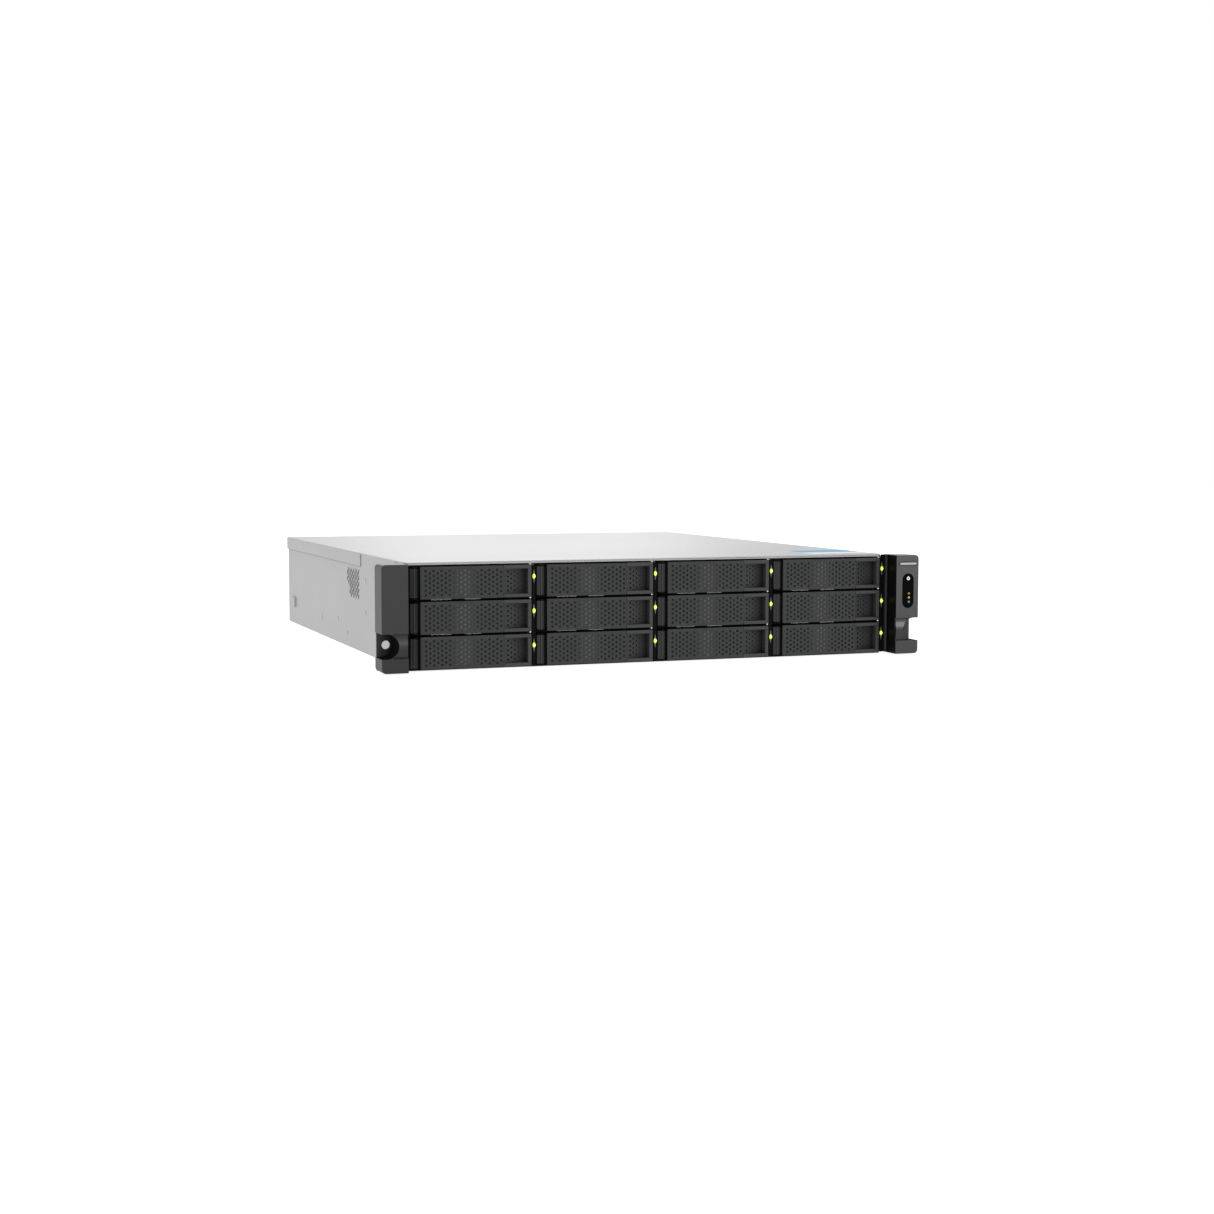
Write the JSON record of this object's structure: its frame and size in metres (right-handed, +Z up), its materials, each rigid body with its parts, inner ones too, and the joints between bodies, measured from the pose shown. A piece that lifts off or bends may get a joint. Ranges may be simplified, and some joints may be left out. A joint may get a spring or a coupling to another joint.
{
  "type": "network attached storage",
  "caption": "Rack-mount network storage chassis with hot-swap drive trays behind vented levers, rack ears, and slide-out power supplies.",
  "frame": {"origin": "on the underside, midway across the rack ears and midway between the front of the ears and the rear handles", "axes": "+X to the right of the front face, +Y from the front to the rear, +Z up"},
  "size_m": [0.4826, 0.5396, 0.088],
  "materials": {
    "zinc_steel": "satin",
    "bare_steel": "satin",
    "ear_plastic": "fine texture",
    "lever_plastic": "fine texture",
    "black_plastic": "satin",
    "gloss_lens": "gloss",
    "button_white": "satin",
    "circuit_board": "solder mask",
    "drive_shell": "cast",
    "heatsink": "extruded",
    "latch_blue": "satin",
    "psu_shell": "satin",
    "light_pipe": "satin, lit heads"
  },
  "bodies": {
    "root": {"chassis_base": "zinc_steel", "rear_panel": "zinc_steel", "front_top_panel": "zinc_steel", "drive_cage": "bare_steel", "backplane": "circuit_board", "fan_bracket": "bare_steel", "fan_frames": "black_plastic", "motherboard": "circuit_board", "cpu_heatsink": "heatsink", "memory_modules": "circuit_board", "pcie_brackets": "bare_steel", "left_ear": "ear_plastic", "right_ear": "ear_plastic", "status_lens": "gloss_lens", "drive_light_pipes": "light_pipe"},
    "cover": {"top_cover": "zinc_steel"},
    "power_button": {"power_button": "button_white"},
    "tray_01": {"drive_tray_01": "bare_steel", "hard_drive_01": "drive_shell"},
    "lever_01": {"tray_lever_01": "lever_plastic"},
    "tray_02": {"drive_tray_02": "bare_steel", "hard_drive_02": "drive_shell"},
    "lever_02": {"tray_lever_02": "lever_plastic"},
    "tray_03": {"drive_tray_03": "bare_steel", "hard_drive_03": "drive_shell"},
    "lever_03": {"tray_lever_03": "lever_plastic"},
    "tray_04": {"drive_tray_04": "bare_steel", "hard_drive_04": "drive_shell"},
    "lever_04": {"tray_lever_04": "lever_plastic"},
    "tray_05": {"drive_tray_05": "bare_steel", "hard_drive_05": "drive_shell"},
    "lever_05": {"tray_lever_05": "lever_plastic"},
    "tray_06": {"drive_tray_06": "bare_steel", "hard_drive_06": "drive_shell"},
    "lever_06": {"tray_lever_06": "lever_plastic"},
    "tray_07": {"drive_tray_07": "bare_steel", "hard_drive_07": "drive_shell"},
    "lever_07": {"tray_lever_07": "lever_plastic"},
    "tray_08": {"drive_tray_08": "bare_steel", "hard_drive_08": "drive_shell"},
    "lever_08": {"tray_lever_08": "lever_plastic"},
    "tray_09": {"drive_tray_09": "bare_steel", "hard_drive_09": "drive_shell"},
    "lever_09": {"tray_lever_09": "lever_plastic"},
    "tray_10": {"drive_tray_10": "bare_steel", "hard_drive_10": "drive_shell"},
    "lever_10": {"tray_lever_10": "lever_plastic"},
    "tray_11": {"drive_tray_11": "bare_steel", "hard_drive_11": "drive_shell"},
    "lever_11": {"tray_lever_11": "lever_plastic"},
    "tray_12": {"drive_tray_12": "bare_steel", "hard_drive_12": "drive_shell"},
    "lever_12": {"tray_lever_12": "lever_plastic"},
    "rotor_1": {"fan_rotor_1": "black_plastic"},
    "rotor_2": {"fan_rotor_2": "black_plastic"},
    "rotor_3": {"fan_rotor_3": "black_plastic"},
    "psu_1": {"psu_1": "psu_shell"},
    "psu_latch_1": {"psu_latch_1": "latch_blue"},
    "psu_2": {"psu_2": "psu_shell"},
    "psu_latch_2": {"psu_latch_2": "latch_blue"}
  },
  "joints": [
    {"name": "cover_slide", "type": "slide", "parent": "root", "child": "cover", "axis": [0, 1, 0], "range_m": [0, 0.014]},
    {"name": "power_button_press", "type": "slide", "parent": "root", "child": "power_button", "axis": [0, 1, 0], "range_m": [0, 0.0008], "stiffness_N_per_m": 500},
    {"name": "tray_01_slide", "type": "slide", "parent": "root", "child": "tray_01", "axis": [0, -1, 0], "range_m": [0, 0.15]},
    {"name": "lever_01_hinge", "type": "hinge", "parent": "tray_01", "child": "lever_01", "pos_m": [-0.2099, -0.2485, 0.0714], "axis": [0, 0, -1], "range_deg": [0, 65]},
    {"name": "tray_02_slide", "type": "slide", "parent": "root", "child": "tray_02", "axis": [0, -1, 0], "range_m": [0, 0.15]},
    {"name": "lever_02_hinge", "type": "hinge", "parent": "tray_02", "child": "lever_02", "pos_m": [-0.1022, -0.2485, 0.0714], "axis": [0, 0, -1], "range_deg": [0, 65]},
    {"name": "tray_03_slide", "type": "slide", "parent": "root", "child": "tray_03", "axis": [0, -1, 0], "range_m": [0, 0.15]},
    {"name": "lever_03_hinge", "type": "hinge", "parent": "tray_03", "child": "lever_03", "pos_m": [0.0055, -0.2485, 0.0714], "axis": [0, 0, -1], "range_deg": [0, 65]},
    {"name": "tray_04_slide", "type": "slide", "parent": "root", "child": "tray_04", "axis": [0, -1, 0], "range_m": [0, 0.15]},
    {"name": "lever_04_hinge", "type": "hinge", "parent": "tray_04", "child": "lever_04", "pos_m": [0.1132, -0.2485, 0.0714], "axis": [0, 0, -1], "range_deg": [0, 65]},
    {"name": "tray_05_slide", "type": "slide", "parent": "root", "child": "tray_05", "axis": [0, -1, 0], "range_m": [0, 0.15]},
    {"name": "lever_05_hinge", "type": "hinge", "parent": "tray_05", "child": "lever_05", "pos_m": [-0.2099, -0.2485, 0.0429], "axis": [0, 0, -1], "range_deg": [0, 65]},
    {"name": "tray_06_slide", "type": "slide", "parent": "root", "child": "tray_06", "axis": [0, -1, 0], "range_m": [0, 0.15]},
    {"name": "lever_06_hinge", "type": "hinge", "parent": "tray_06", "child": "lever_06", "pos_m": [-0.1022, -0.2485, 0.0429], "axis": [0, 0, -1], "range_deg": [0, 65]},
    {"name": "tray_07_slide", "type": "slide", "parent": "root", "child": "tray_07", "axis": [0, -1, 0], "range_m": [0, 0.15]},
    {"name": "lever_07_hinge", "type": "hinge", "parent": "tray_07", "child": "lever_07", "pos_m": [0.0055, -0.2485, 0.0429], "axis": [0, 0, -1], "range_deg": [0, 65]},
    {"name": "tray_08_slide", "type": "slide", "parent": "root", "child": "tray_08", "axis": [0, -1, 0], "range_m": [0, 0.15]},
    {"name": "lever_08_hinge", "type": "hinge", "parent": "tray_08", "child": "lever_08", "pos_m": [0.1132, -0.2485, 0.0429], "axis": [0, 0, -1], "range_deg": [0, 65]},
    {"name": "tray_09_slide", "type": "slide", "parent": "root", "child": "tray_09", "axis": [0, -1, 0], "range_m": [0, 0.15]},
    {"name": "lever_09_hinge", "type": "hinge", "parent": "tray_09", "child": "lever_09", "pos_m": [-0.2099, -0.2485, 0.0144], "axis": [0, 0, -1], "range_deg": [0, 65]},
    {"name": "tray_10_slide", "type": "slide", "parent": "root", "child": "tray_10", "axis": [0, -1, 0], "range_m": [0, 0.15]},
    {"name": "lever_10_hinge", "type": "hinge", "parent": "tray_10", "child": "lever_10", "pos_m": [-0.1022, -0.2485, 0.0144], "axis": [0, 0, -1], "range_deg": [0, 65]},
    {"name": "tray_11_slide", "type": "slide", "parent": "root", "child": "tray_11", "axis": [0, -1, 0], "range_m": [0, 0.15]},
    {"name": "lever_11_hinge", "type": "hinge", "parent": "tray_11", "child": "lever_11", "pos_m": [0.0055, -0.2485, 0.0144], "axis": [0, 0, -1], "range_deg": [0, 65]},
    {"name": "tray_12_slide", "type": "slide", "parent": "root", "child": "tray_12", "axis": [0, -1, 0], "range_m": [0, 0.15]},
    {"name": "lever_12_hinge", "type": "hinge", "parent": "tray_12", "child": "lever_12", "pos_m": [0.1132, -0.2485, 0.0144], "axis": [0, 0, -1], "range_deg": [0, 65]},
    {"name": "fan_1_spin", "type": "hinge", "parent": "root", "child": "rotor_1", "pos_m": [-0.14, -0.0469, 0.044], "axis": [0, 1, 0], "continuous": true},
    {"name": "fan_2_spin", "type": "hinge", "parent": "root", "child": "rotor_2", "pos_m": [0, -0.0469, 0.044], "axis": [0, 1, 0], "continuous": true},
    {"name": "fan_3_spin", "type": "hinge", "parent": "root", "child": "rotor_3", "pos_m": [0.14, -0.0469, 0.044], "axis": [0, 1, 0], "continuous": true},
    {"name": "psu_1_slide", "type": "slide", "parent": "root", "child": "psu_1", "axis": [0, 1, 0], "range_m": [0, 0.185]},
    {"name": "psu_1_latch_press", "type": "hinge", "parent": "psu_1", "child": "psu_latch_1", "pos_m": [0.199, 0.251, 0.0211], "axis": [0, 0, 1], "range_deg": [0, 14], "stiffness_Nm_per_rad": 0.02},
    {"name": "psu_2_slide", "type": "slide", "parent": "root", "child": "psu_2", "axis": [0, 1, 0], "range_m": [0, 0.185]},
    {"name": "psu_2_latch_press", "type": "hinge", "parent": "psu_2", "child": "psu_latch_2", "pos_m": [0.199, 0.251, 0.0621], "axis": [0, 0, 1], "range_deg": [0, 14], "stiffness_Nm_per_rad": 0.02}
  ]
}
